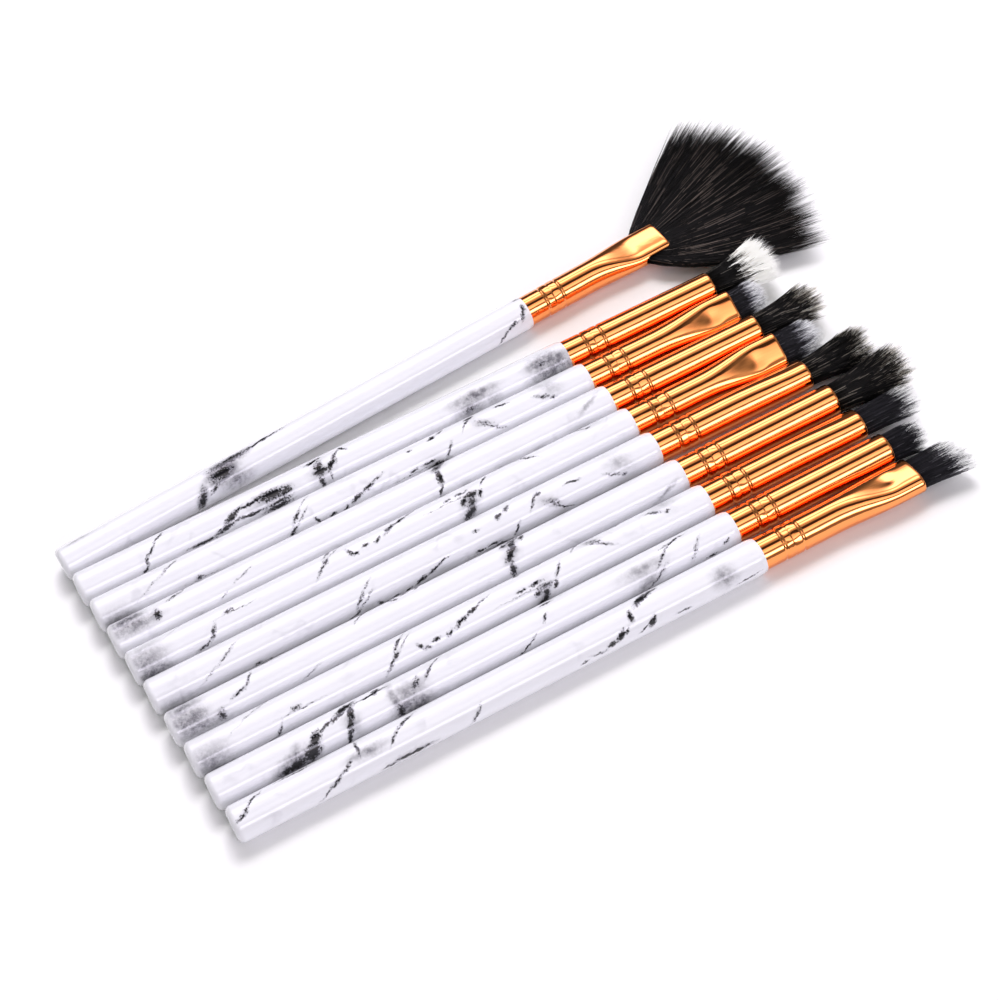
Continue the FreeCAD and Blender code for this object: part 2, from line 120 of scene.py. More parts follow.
# Marble prints: dabs of black ink and of grey smoke. Each dab is (mm from the butt, degrees round the
# handle, half its length, half its width, tilt in degrees, strength).
PRINTS = {
    "dotted": (
        ((14, -33, 1.6, 0.35, 20, 0.8), (16.3, -8, 1.6, 0.35, 55, 0.8), (20.5, 34, 0.9, 0.45, 0, 0.8),
         (21.5, 27, 4, 0.18, 0, 0.5), (12, 80, 4, 0.2, 25, 0.4), (16, 112, 2.5, 0.3, 30, 0.6),
         (39.5, 25, 2.2, 0.25, 42, 0.8), (40.5, 38, 0.9, 0.4, 35, 0.9), (43, 68, 2, 0.2, 38, 0.6),
         (41.8, 75, 1.8, 0.3, 45, 0.8), (44.3, 112, 1.4, 0.25, 40, 0.6), (45.3, 30, 0.8, 0.35, -60, 1),
         (46.3, 18, 0.5, 0.3, 0, 1), (48.4, 28, 0.7, 0.3, 0, 1), (51, 27, 0.7, 0.35, 30, 1),
         (53.8, 43, 1.3, 0.4, 25, 1), (56.5, 58, 1.4, 0.35, 20, 1), (58.7, 72, 1.4, 0.25, 15, 0.8),
         (66, 42, 0.8, 0.28, 0, 0.9), (69, 43, 1.2, 0.28, 0, 0.9), (70.5, 24, 1.3, 0.5, 0, 1),
         (68.7, 14, 0.8, 0.5, 30, 1), (72.4, 14, 0.7, 0.4, 60, 1), (69.8, -10, 1.6, 0.6, 68, 1.1),
         (69, -28, 1.6, 0.6, 40, 1.1), (74, 54, 1.3, 0.28, 50, 0.9), (83.5, 60, 2.4, 0.28, -30, 0.7),
         (66, 31, 5, 0.12, 0, 0.5), (66.8, 108, 0.6, 0.28, 0, 0.8), (71.8, 118, 0.8, 0.4, 20, 1),
         (73.8, 131, 0.8, 0.35, 30, 0.9), (80.2, 128, 0.8, 0.4, 0, 1), (79, 112, 1.7, 0.25, 50, 0.8),
         (82.4, 80, 1.6, 0.5, -30, 0.6), (87.2, 114, 1.3, 0.28, -10, 0.9), (95, 76, 1.7, 0.35, -25, 0.7),
         (97, 60, 0.6, 0.3, 0, 0.7), (9.6, -72, 1.0, 0.6, 80, 0.9), (68.2, -74, 1.4, 0.55, 80, 1.1),
         (67.6, -112, 1.5, 0.28, 60, 0.9), (27, -78, 2, 0.2, 20, 0.6), (22, -112, 1, 0.2, 25, 0.5)),
        ((3.5, 5, 3.6, 3.0, 0, 0.6), (4, -40, 3, 1.4, 0, 0.9), (5, -72, 4.6, 1.4, 0, 0.7),
         (69.5, -8, 3.0, 1.6, 65, 0.5), (97, 100, 3, 2.0, -40, 0.4), (100.5, -75, 2.8, 0.5, 25, 0.55),
         (81.5, 92, 2.6, 1.0, -30, 0.4))),
    "loops": (
        ((13, -35, 1.0, 0.3, 45, 0.9), (14, -8, 1.0, 0.3, 60, 0.9), (15.6, 15, 1.5, 0.25, 45, 0.8),
         (17.6, 48, 1.6, 0.3, 40, 0.8), (25, -36, 2.8, 0.35, 0, 1), (30, -24, 2.0, 0.45, 10, 1.1),
         (32, 0, 2.2, 0.5, 25, 1.1), (36.5, 13, 2.8, 0.3, 5, 0.9), (40.5, 9, 2.7, 0.95, -5, 1.1),
         (43.3, 0, 1.5, 0.7, 20, 1), (35, -19, 3, 0.3, -5, 1), (41.5, -21, 2.2, 0.45, 0, 1),
         (41, -36, 2.6, 0.4, 0, 1), (50.5, 55, 1.5, 0.35, 10, 1), (51, 26, 1.1, 0.7, 60, 1.1),
         (51, 7, 1.4, 0.5, 0, 1.1), (50.5, -22, 1.1, 0.45, 85, 1), (52.7, -20, 0.9, 0.25, 85, 0.7),
         (53.5, 14, 1.3, 0.5, 35, 1.1), (54.8, 40, 1.4, 0.32, 40, 1), (56.8, 52, 0.9, 0.32, -45, 1),
         (99.5, 10, 0.9, 0.5, 0, 0.7), (83, -22, 1.4, 0.6, 0, 0.6)),
        ((84.5, 13, 4.4, 1.2, 0, 0.75), (83, -24, 2.8, 1.4, 0, 0.7), (88, -20, 1.6, 1.5, 0, 0.5),
         (101, 10, 3.8, 1.6, -5, 1), (101.5, -28, 4.2, 1.7, 0, 1), (51, 10, 2.2, 3.2, 0, 0.4),
         (40, -8, 4.5, 2.2, 0, 0.45))),
    "bold": (
        ((15, -38, 2.6, 0.9, 10, 1.1), (18.8, -25, 1.9, 1.1, 40, 1.2), (20, 5, 1.5, 0.75, 50, 1.2),
         (23, 32, 2.4, 0.3, 25, 0.8), (25.5, 40, 1.6, 0.35, 15, 1), (27, 55, 1.8, 0.6, 20, 1.1),
         (27.7, 30, 1.4, 0.55, 70, 1.1), (26.9, 3, 1.6, 0.4, 65, 1.1), (25.9, -35, 1.8, 0.42, 65, 1.1),
         (32, 56, 3, 0.22, 3, 0.9), (33.2, 60, 0.9, 0.45, 30, 1), (35.8, -38, 1.4, 0.6, 85, 1),
         (40, 20, 1.4, 0.6, 50, 0.7), (43.3, 38, 1.6, 0.32, 40, 0.9), (45, 60, 1.6, 0.22, 35, 0.7),
         (61.2, -35, 2.1, 0.2, 35, 0.9), (66.2, 20, 1.0, 0.22, 45, 0.7), (90.5, 25, 2.4, 0.3, 40, 0.7),
         (93.5, 57, 2.4, 0.28, 10, 0.8), (88, -30, 2.6, 0.25, 35, 0.7), (96.8, 0, 2.4, 0.3, 50, 0.55),
         (99.3, -50, 0.9, 0.3, 0, 0.9), (102.5, -25, 0.7, 0.3, 30, 0.8), (67.6, 68, 1.3, 0.28, 0, 0.8)),
        ((15.5, -33, 3.6, 1.7, 10, 1), (16, -5, 1.7, 0.9, 60, 0.6), (27.2, 5, 1.5, 2.6, 0, 0.5),
         (38.5, 5, 3.0, 2.0, 0, 0.6), (38.3, -36, 3.2, 1.5, 0, 1), (35.6, 0, 0.8, 3.6, 0, 0.6),
         (86, 16, 4.2, 1.5, 0, 0.5), (86, -33, 3.2, 1.3, 20, 0.6))),
    "fork": (
        ((2, 15, 1.3, 0.3, 20, 0.8), (3.4, 30, 1.1, 0.3, 45, 0.8), (5, 50, 1.8, 0.28, 30, 0.8),
         (13.5, 74, 3, 0.3, 0, 0.8), (24.8, 45, 1.5, 0.28, 88, 0.9), (17, -40, 1.9, 0.28, 35, 0.7),
         (19.5, -18, 1.4, 0.32, 30, 0.9), (21.8, 4, 1.8, 0.3, 35, 0.7), (31.5, 22, 1.6, 0.3, 45, 0.7),
         (34.2, 50, 2.2, 0.3, 25, 0.8), (33.5, -53, 3.4, 0.4, 0, 1.1), (29, -58, 1.4, 0.3, 0, 0.9),
         (46, -35, 1.8, 0.3, 50, 0.7), (81.5, 55, 1.8, 0.65, 25, 1.1), (83.6, 68, 1.4, 0.45, 10, 1),
         (78.3, 17, 1.0, 0.5, 80, 1.1), (73.2, -32, 0.9, 0.42, 20, 1.1), (75.3, -22, 1.1, 0.5, 40, 1.1),
         (76.7, -16, 0.8, 0.25, 45, 0.9), (70.5, -42, 1.5, 0.25, -10, 0.7), (67.5, -48, 0.7, 0.28, 0, 0.8),
         (81.6, -27, 1.0, 0.45, 50, 1.1), (80, -35, 1.3, 0.22, 25, 0.8), (88, -44, 1.5, 0.22, -5, 0.8),
         (101.3, -50, 2.1, 0.22, 5, 0.9)),
        ((26, 20, 3.4, 1.0, 0, 0.6), (97, -8, 2.2, 2.0, -20, 0.6), (33, -52, 4.0, 0.9, 0, 0.5))),
    "band": (
        ((29.5, -35, 2.0, 0.75, 60, 1.1), (32.7, -20, 1.4, 0.28, 30, 0.9), (35, 12, 2.2, 1.0, 0, 1.1),
         (37.5, 42, 3.8, 0.55, 3, 1.1), (44.5, 50, 4.2, 0.32, 5, 1), (98.5, -48, 1.8, 0.3, 45, 0.8),
         (100.9, -25, 1.4, 0.38, 15, 0.9), (104, -4, 1.4, 0.42, 55, 0.9), (104.5, 14, 0.8, 0.4, 85, 0.9),
         (104.5, 60, 1.0, 0.3, 0, 0.7)),
        ((35.3, 16, 2.9, 1.8, 10, 1.1), (37, -30, 3.2, 1.8, 0, 0.7), (29.5, -35, 2.4, 1.0, 60, 0.7),
         (5, 58, 3.2, 0.5, 0, 0.4), (38, 40, 4.0, 0.9, 3, 0.8))),
}

# Tufts. size: length and, at the tips, width and height in millimetres. lean: how far the tips stand to
# the far side and up. cut: how much shorter the outer hair is. slant: how much longer the near side is.
# clumps: how many locks, how far hair is drawn into them, how uneven they are. frizz: wander of a tip.
# colouring: see HAIR_COLOURS. tip_share: how much of the hair, from its tip, is in the tip colours.
TUFTS = {
    "blending": dict(size=(16.4, 14.6, 9.4), lean=(-1.0, 2.0), cut=0.14, strands=4600,
                     clumps=(150, 0.75, 0.06), frizz=0.22, colouring="cream", tip_share=0.56),
    "small_shader": dict(size=(8.9, 7.8, 5.0), lean=(0.0, 0.3), cut=0.30, strands=3400,
                         clumps=(140, 0.45, 0.03), frizz=0.10, colouring="silver", tip_share=0.56),
    "crease": dict(size=(18.4, 10.4, 8.4), lean=(-0.3, 1.2), cut=0.20, strands=3900,
                   clumps=(95, 0.9, 0.12), frizz=0.28, colouring="beige", tip_share=0.32),
    "flat_shader": dict(size=(10.9, 8.4, 5.0), lean=(0.0, 0.2), cut=0.30, strands=3600,
                        clumps=(150, 0.45, 0.03), frizz=0.10, colouring="silver", tip_share=0.52),
    "tapered": dict(size=(18.2, 11.8, 9.2), lean=(0.3, 0.6), cut=0.20, strands=4300,
                    clumps=(120, 0.85, 0.11), frizz=0.26, colouring="beige", tip_share=0.27),
    "large_fluffy": dict(size=(20.2, 12.8, 9.8), lean=(0.0, 0.6), cut=0.18, strands=4700,
                         clumps=(140, 0.85, 0.10), frizz=0.26, colouring="beige", tip_share=0.24),
    "definer": dict(size=(14.6, 7.9, 6.4), lean=(0.0, 0.0), cut=0.10, strands=3600,
                    clumps=(80, 0.85, 0.10), frizz=0.12, colouring="slate", tip_share=0.34),
    "smudge": dict(size=(9.5, 7.4, 6.8), lean=(0.0, 0.0), cut=0.12, strands=3400,
                   clumps=(80, 0.85, 0.10), frizz=0.12, colouring="slate", tip_share=0.38),
    "filbert": dict(size=(12.5, 10.2, 6.0), lean=(-0.3, 0.0), cut=0.14, slant=0.13, strands=3600,
                    clumps=(130, 0.5, 0.04), frizz=0.10, colouring="slate", tip_share=0.46),
}
ROOT_DEPTH = 1.2  # how far inside the mouth the strands start
STRAND_GRID = (0.0, 0.26, 0.50, 0.68, 0.82, 0.92, 1.0)  # steps along a strand
GRID_POWERS = (0.7, 1.45)  # each strand's own spacing of those steps
STRAND_SIDES = 3
STRAND_RADIUS = 0.055
STRAND_SIZES = (0.8, 1.2)  # spread of the strands' thickness
SIDE_HINT = (0.12, 0.07, 1.0)  # no strand runs this way, so it sets where its sides face
FLOOR_CLEARANCE = 0.12
TIP_TAPER = {"cream": 0.55, "silver": 0.6, "beige": 0.75, "slate": 0.72}  # how much thinner tips are
TAPER_START = 0.6
RIM_CROWDING = 0.42  # a half would spread the strands evenly over a tuft's section
CUT_POWER = 2.5  # how close to the rim the cut starts
CUT_SCATTER = 0.3  # random share of the cut on every strand
WISP = 0.16  # how much shorter the outer hair of a lock is than its middle
WISP_LIMIT = 1.6
SPLAY_POWER = 1.25  # above one, hair leaves the mouth along the brush and splays later
LEAN_POWER = 1.4
PULL_POWER = 2.6  # how late along its length hair is drawn into its lock
LOCK_WANDER = 1.4  # wander of a whole lock, against that of one hair
FILL = 0.96  # how much of the tuft's section its strands fill
TONE_SPREAD = 0.055  # how unevenly the tip colours start

# Hair colours: two root tones and a lighter tone for painted glints, then the tip zone's colours with the
# share of the zone where each starts, then how often hair has the second tone and how often a step of it
# shows a painted glint.
HAIR_COLOURS = {
    "black": (((0.0015, 0.0013, 0.0013), (0.006, 0.0052, 0.0048), (0.15, 0.122, 0.104)),
              ((0.0, (0.010, 0.008, 0.007)), (0.6, (0.040, 0.030, 0.023))), (0.35, 0.085)),
    "beige": (((0.0015, 0.0014, 0.0013), (0.009, 0.008, 0.007), (0.20, 0.18, 0.15)),
              ((0.0, (0.07, 0.06, 0.05)), (0.16, (0.50, 0.46, 0.39)),
               (0.34, (0.93, 0.91, 0.85))), (0.35, 0.08)),
    "cream": (((0.0015, 0.0014, 0.0013), (0.008, 0.0075, 0.0065), (0.16, 0.15, 0.13)),
              ((0.0, (0.30, 0.285, 0.26)), (0.06, (0.82, 0.81, 0.77)),
               (0.14, (0.97, 0.965, 0.94))), (0.3, 0.05)),
    "silver": (((0.007, 0.007, 0.009), (0.016, 0.0155, 0.020), (0.085, 0.084, 0.095)),
               ((0.0, (0.08, 0.08, 0.095)), (0.18, (0.34, 0.34, 0.37)),
                (0.42, (0.84, 0.84, 0.86))), (0.4, 0.06)),
    "slate": (((0.007, 0.0068, 0.009), (0.018, 0.0172, 0.022), (0.085, 0.083, 0.092)),
              ((0.0, (0.10, 0.10, 0.11)), (0.18, (0.45, 0.45, 0.46)),
               (0.36, (0.93, 0.93, 0.93))), (0.4, 0.06)),
}
PALE = 0.33  # tones at least this light get a painted glow, standing in for light scattered inside pale bristles
PALE_PAINTED_GLOW = 0.17
GLOSS = {"black": 0.34, "beige": 0.34, "cream": 0.34, "silver": 0.42, "slate": 0.42}  # roughness
GLOSS_SPREAD = 0.14


# ---- Places: every brush has its own axes, read from its tuft's joint and its CAD pieces

def node_points(node):
    """All vertices of a CAD node, in metres."""
    return np.array([v.co for v in frame["nodes"][node].data.vertices], float)


def brush_place(name):
    """Matrix from millimetres along a brush (x from the ferrule's start, z up) to the row's metres."""
    joint = next(j for j in frame["joints"] if j["name"] == f"{name}_tuft_flex")
    ahead = UP.cross(Vector(joint["axis"])).normalized()
    hinge = Vector(joint["pos_m"])
    along = node_points(f"{name}_ferrule") @ np.array(ahead)
    start = hinge + ahead * (along.min() - hinge.dot(ahead))
    side = UP.cross(ahead)
    turn = Matrix((ahead, side, UP)).transposed().to_4x4()
    return Matrix.Translation(start) @ turn @ Matrix.Scale(MM, 4)


PLACES = {name: brush_place(name) for name in BRUSHES}


def placed(points, name):
    """(n, 3) millimetres on a brush as metres in the row."""
    m = np.array(PLACES[name])
    return points @ m[:3, :3].T + m[:3, 3]


def smooth(t):
    """Ease from 0 to 1 with level ends."""
    t = np.clip(t, 0.0, 1.0)
    return t * t * (3 - 2 * t)


# ---- Node helpers

class Nodes:
    """Short ways to make and join the nodes of one material."""

    def __init__(self, name):
        self.material = bpy.data.materials.new(name)
        self.material.use_nodes = True
        self.tree = self.material.node_tree
        self.shader = next(n for n in self.tree.nodes if n.type == "BSDF_PRINCIPLED")

    def add(self, kind, **settings):
        node = self.tree.nodes.new(kind)
        for key, value in settings.items():
            setattr(node, key, value)
        return node

    def link(self, source, target):
        self.tree.links.new(source, target)

    def feed(self, socket, value):
        """Put a plain value on a socket, or join another socket to it."""
        if isinstance(value, bpy.types.NodeSocket):
            self.link(value, socket)
        else:
            socket.default_value = value

    def math(self, operation, a, b=0.0):
        node = self.add("ShaderNodeMath", operation=operation)
        self.feed(node.inputs[0], a)
        self.feed(node.inputs[1], b)
        return node.outputs[0]

    def ramp(self, value, low, high, to_low=0.0, to_high=1.0):
        """Smooth step of a value from low..high to to_low..to_high."""
        node = self.add("ShaderNodeMapRange", interpolation_type="SMOOTHSTEP")
        for socket, v in zip(node.inputs, (value, low, high, to_low, to_high)):
            self.feed(socket, v)
        return node.outputs[0]

    def mix(self, share, a, b):
        node = self.add("ShaderNodeMix", data_type="RGBA")
        self.feed(node.inputs[0], share)
        self.feed(node.inputs[6], a)
        self.feed(node.inputs[7], b)
        return node.outputs[2]

    def noise(self, vector, scale, detail=4.0, roughness=0.5):
        node = self.add("ShaderNodeTexNoise")
        self.feed(node.inputs["Vector"], vector)
        node.inputs["Scale"].default_value = scale
        node.inputs["Detail"].default_value = detail
        node.inputs["Roughness"].default_value = roughness
        return node.outputs["Fac"]

    def position(self, scale=(1, 1, 1)):
        """Object position in millimetres, stretched."""
        coords = self.add("ShaderNodeTexCoord")
        mapping = self.add("ShaderNodeMapping")
        self.link(coords.outputs["Object"], mapping.inputs["Vector"])
        mapping.inputs["Scale"].default_value = [s / MM for s in scale]
        return mapping.outputs[0]

    def bump(self, height, distance, strength=1.0):
        node = self.add("ShaderNodeBump")
        node.inputs["Strength"].default_value = strength
        node.inputs["Distance"].default_value = distance
        self.link(height, node.inputs["Height"])
        self.link(node.outputs[0], self.shader.inputs["Normal"])

    def set(self, **values):
        """Set the shader's own sockets by name, with _ for a space."""
        for key, value in values.items():
            self.feed(self.shader.inputs[key.replace("_", " ")], value)


def rgb(r, g, b):
    return (r, g, b, 1.0)


# ---- Materials

def dab_field(n, arc, dabs):
    """How near a point of the print is to the middle of its nearest dab, from 0 to each dab's strength."""
    field = None
    for along, degrees, length, width, tilt, strength in dabs:
        place = n.add("ShaderNodeMapping", vector_type="TEXTURE")
        n.link(arc, place.inputs["Vector"])
        place.inputs["Location"].default_value = (along, math.radians(degrees) * HANDLE_RADIUS, 0)
        place.inputs["Rotation"].default_value = (0, 0, math.radians(tilt))
        place.inputs["Scale"].default_value = (length * DAB_REACH, width * DAB_REACH, 1)
        away = n.add("ShaderNodeVectorMath", operation="LENGTH")
        n.link(place.outputs[0], away.inputs[0])
        near = n.add("ShaderNodeMath", operation="MULTIPLY_ADD")
        n.feed(near.inputs[0], away.outputs["Value"])
        n.feed(near.inputs[1], -strength)
        n.feed(near.inputs[2], strength)
        field = near.outputs[0] if field is None else n.math("MAXIMUM", field, near.outputs[0])
    return n.math("MAXIMUM", field, 0.0)


def unrolled(n, name, turn):
    """Print position of a handle: (mm along, mm round from the side that faces up and near, 0)."""
    local = n.add("ShaderNodeMapping", vector_type="TEXTURE")
    n.link(n.add("ShaderNodeTexCoord").outputs["Object"], local.inputs["Vector"])
    place = PLACES[name]
    local.inputs["Location"].default_value = place @ Vector((-HANDLE_LENGTH, 0, 0))
    local.inputs["Rotation"].default_value = place.to_euler()
    local.inputs["Scale"].default_value = (MM, MM, MM)
    point = local.outputs[0]
    waver = n.noise(point, 0.75, 5.0, 0.65).node.outputs["Color"]
    split = n.add("ShaderNodeSeparateXYZ")
    n.link(point, split.inputs[0])
    angle = n.math("ARCTAN2", split.outputs["Y"], split.outputs["Z"])
    turned = n.math("ADD", angle, math.radians(NEAR_SIDE - turn))
    join = n.add("ShaderNodeCombineXYZ")
    n.link(split.outputs["X"], join.inputs["X"])
    n.link(n.math("MULTIPLY", turned, HANDLE_RADIUS), join.inputs["Y"])
    shift = n.add("ShaderNodeVectorMath", operation="MULTIPLY_ADD")
    n.link(waver, shift.inputs[0])
    shift.inputs[1].default_value = (PRINT_WAVER, PRINT_WAVER, 0)
    n.link(join.outputs[0], shift.inputs[2])
    centred = n.add("ShaderNodeVectorMath", operation="SUBTRACT")
    n.link(shift.outputs[0], centred.inputs[0])
    centred.inputs[1].default_value = (PRINT_WAVER / 2, PRINT_WAVER / 2, 0)
    return point, split.outputs["X"], centred.outputs[0]


def marble(name, print_name, turn):
    """White plastic in a wrapped marble print under clear lacquer, plain at the butt's rounded edge, where a
    greyer colour paints in shade.
    """
    n = Nodes(f"marble_{name}")
    point, along, arc = unrolled(n, name, turn)
    ink_dabs, smoke_dabs = PRINTS[print_name]
    grain = n.noise(point, 2.4, 4.0, 0.75)
    ink_near = dab_field(n, arc, ink_dabs)
    ragged = n.math("ADD", ink_near, n.math("MULTIPLY", n.math("SUBTRACT", grain, 0.5), 2.4))
    ink = n.math("MULTIPLY", n.ramp(ragged, 0.34, 0.66), n.ramp(ink_near, 0.02, 0.2))
    fringe = n.ramp(ink_near, 0.0, 0.7, 0.0, 0.6)
    cloud = n.noise(point, 0.7, 5.0, 0.75)
    smoke = n.math("MULTIPLY", n.ramp(dab_field(n, arc, smoke_dabs), 0.0, 0.7),
                   n.ramp(cloud, 0.3, 0.65, 0.45, 1.0))
    own = n.add("ShaderNodeVectorMath", operation="ADD")
    n.link(point, own.inputs[0])
    own.inputs[1].default_value = (0, list(BRUSHES).index(name) * OWN_NOISE, 0)
    vein = n.math("ABSOLUTE", n.math("SUBTRACT", n.noise(own.outputs[0], 0.07, 3.0, 0.6), 0.5))
    faint = n.math("MULTIPLY", n.ramp(vein, 0.0, 0.035, 0.22, 0.0),
                   n.ramp(n.noise(own.outputs[0], 0.09, 2.0), 0.52, 0.68))
    base = n.mix(n.noise(own.outputs[0], 0.12, 3.0), rgb(0.785, 0.785, 0.83), rgb(0.85, 0.85, 0.885))
    base = n.mix(faint, base, rgb(0.36, 0.35, 0.41))
    base = n.mix(n.math("MULTIPLY", smoke, 0.95), base, rgb(0.085, 0.08, 0.10))
    base = n.mix(fringe, base, rgb(0.20, 0.195, 0.235))
    base = n.mix(ink, base, rgb(0.008, 0.008, 0.010))
    # Painted shade: the butt's rounded edge loses its print and turns a little greyer.
    base = n.mix(n.ramp(along, 0.5, 1.5, 1.0, 0.0), base, rgb(0.74, 0.74, 0.77))
    n.set(Base_Color=base, Coat_Weight=0.8, Coat_Roughness=0.02, Specular_IOR_Level=0.1)
    n.set(Roughness=n.ramp(grain, 0.3, 0.7, 0.18, 0.26))
    n.bump(n.noise(point, 0.35, 2.0), 0.00002, 0.25)
    return n.material


def rose_gold():
    """Polished rose-gold anodised aluminium, with faint drawing lines along the tube."""
    n = Nodes("rose_gold")
    lines = n.noise(n.position(scale=(0.04, 1.0, 1.0)), 3.2, 4.0, 0.6)
    tint = n.mix(lines, rgb(1.0, 0.335, 0.10), rgb(1.0, 0.375, 0.125))
    n.set(Base_Color=tint, Metallic=1.0, Roughness=n.ramp(lines, 0.3, 0.7, 0.035, 0.07))
    waves = n.noise(n.position(scale=(0.4, 1.0, 1.0)), 0.5, 2.0)
    height = n.math("ADD", waves, n.math("MULTIPLY", lines, 0.10))
    n.bump(height, 0.00003, 0.8)
    return n.material


def epoxy():
    """Cured glue, amber and slightly cloudy."""
    n = Nodes("epoxy")
    cloud = n.noise(n.position(), 0.9, 4.0)
    n.set(Base_Color=n.mix(cloud, rgb(0.50, 0.38, 0.18), rgb(0.72, 0.60, 0.36)), Roughness=0.3)
    return n.material


def bundle(name, dark, light):
    """Packed hair inside a ferrule, as fine lines along the brush."""
    n = Nodes(name)
    lines = n.noise(n.position(scale=(0.04, 1.0, 1.0)), 9.0, 2.0, 0.7)
    n.set(Base_Color=n.mix(n.ramp(lines, 0.35, 0.7), dark, light), Roughness=0.5)
    n.bump(lines, 0.00005, 0.8)
    return n.material


def hair(colour, label, gloss):
    """One tone of hair: a filament with uneven gloss along its length; pale tones get a painted glow that
    stands in for light scattered inside white bristles.
    """
    n = Nodes(f"hair_{label}")
    shine = n.noise(n.position(), 2.4, 3.0)
    n.set(Base_Color=rgb(*colour), Roughness=n.ramp(shine, 0.3, 0.7, gloss, gloss + GLOSS_SPREAD),
          Specular_IOR_Level=0.18)
    # Painted glow: pale tones emit a little of their own colour, standing in for light scattered inside
    # white bristles.
    if min(colour) >= PALE:
        n.set(Emission_Color=rgb(*colour), Emission_Strength=PALE_PAINTED_GLOW)
    return n.material


def paper():
    """Pale floor with a barely visible tooth."""
    n = Nodes("paper")
    tooth = n.noise(n.position(), 1.2, 3.0)
    n.set(Base_Color=n.mix(tooth, rgb(0.90, 0.90, 0.90), rgb(0.93, 0.93, 0.93)), Roughness=0.9,
          Specular_IOR_Level=0.1)
    return n.material


# ---- Ferrules

def ferrule_stations():
    """Places along a ferrule where its mesh has a ring: close together at the grooves."""
    first, last = GROOVES[0][0] - FINE_MARGIN, GROOVES[-1][0] + FINE_MARGIN
    fine = np.arange(first, last, FINE_STEP)
    before = np.linspace(0.0, first, PLAIN_RINGS, endpoint=False)
    after = np.linspace(last, FERRULE_LENGTH - LAST_RING_BACK, COARSE_RINGS)
    return np.concatenate([before, fine, after])


def groove_radius(x, radius):
    """Radius of the round stretch at x, with its thinner start and its crimp grooves."""
    first = GROOVES[0][0]
    r = radius - START_DROP * (1 - smooth((x - first + 0.1) / 0.4))
    for place, depth in GROOVES:
        away = abs(x - place) / GROOVE_HALF_WIDTH
        r = r - depth * (1 - smooth(away)) if away < 1 else r
    return float(r)


def crimp_facets(x, angle):
    """How far the tool's jaws push the crimped band out and in round the tube, in millimetres."""
    band = smooth((x - GROOVES[0][0]) / 0.5) * smooth((GROOVES[-1][0] - x) / 0.5)
    return CRIMP_DEPTH * band * (np.cos(CRIMP_JAWS * angle + 1.3 * x) + np.cos(5 * angle - 2.1 * x))


def dent(x, across, brush):
    """Depth of the pinching tool's mark, where the flat of a ferrule starts."""
    if not brush["dent"]:
        return 0.0
    middle = FERRULE_LENGTH - brush["flat"] - DENT_BACK
    before, after, half_width = DENT_REACH
    reach = (x - middle) / np.where(x < middle, before, after)
    return brush["dent"] * np.exp(-reach**2 - (across / half_width) ** 2)


def ferrule_ring(x, brush, inset):
    """Closed ring of points of a ferrule's surface at x, inset by the wall or not."""
    angle = np.linspace(0, 2 * math.pi, FERRULE_SEGMENTS, endpoint=False)
    share = (x - ROUND_PART) / (FERRULE_LENGTH - brush["flat"] - ROUND_PART)
    if brush["flat"] == 0 or share <= 0:
        r = groove_radius(x, FERRULE_RADIUS - inset) + crimp_facets(x, angle)
        y, z = r * np.cos(angle), r * np.sin(angle)
    else:
        round_size = 2 * (FERRULE_RADIUS - inset)
        width, height = (size - 2 * inset for size in brush["mouth"])
        width = round_size + (width - round_size) * smooth(share) ** 1.3
        height = round_size + (height - round_size) * smooth(np.clip(share, 0, 1) ** 1.5)
        stretch, r = (width - height) / 2, height / 2
        side = np.tanh(FLATNESS * np.cos(angle)) / math.tanh(FLATNESS)
        y, z = stretch * side + r * np.cos(angle), r * np.sin(angle)
        z = z - dent(x, y, brush) * smooth(z / r)
    roll = math.radians(brush["roll"])
    return np.stack([np.full_like(angle, x), y * math.cos(roll) - z * math.sin(roll),
                     y * math.sin(roll) + z * math.cos(roll)], 1)


def ring_skin(rings):
    """Closed skin that joins rings of equal size one after another, and the last to the first."""
    count, size = len(rings), len(rings[0])
    faces = []
    for i in range(count):
        a, b = i * size, ((i + 1) % count) * size
        faces += [(a + k, a + (k + 1) % size, b + (k + 1) % size, b + k) for k in range(size)]
    return np.concatenate(rings), faces


def face_outwards(mesh):
    """Turn the faces of a closed mesh outwards."""
    tidy = bmesh.new()
    tidy.from_mesh(mesh)
    bmesh.ops.recalc_face_normals(tidy, faces=tidy.faces)
    tidy.to_mesh(mesh)
    tidy.free()


def new_mesh(name, points, faces, materials):
    """Mesh object made from points in metres, with smooth faces and its materials."""
    mesh = bpy.data.meshes.new(name)
    mesh.from_pydata(np.asarray(points).tolist(), [], faces)
    for material in materials:
        mesh.materials.append(material)
    mesh.polygons.foreach_set("use_smooth", [True] * len(mesh.polygons))
    piece = bpy.data.objects.new(name, mesh)
    bpy.context.scene.collection.objects.link(piece)
    return piece


def ferrule_points(brush):
    """Rings of a ferrule: outside, round the mouth's edge, and back along the inside."""
    outer = [ferrule_ring(x, brush, 0.0) for x in ferrule_stations()]
    edge = [ferrule_ring(FERRULE_LENGTH - back, brush, FERRULE_WALL * share) for back, share in MOUTH_EDGE]
    inner = [ferrule_ring(x, brush, FERRULE_WALL) for x in ferrule_stations()[::-1]]
    return outer + edge + inner


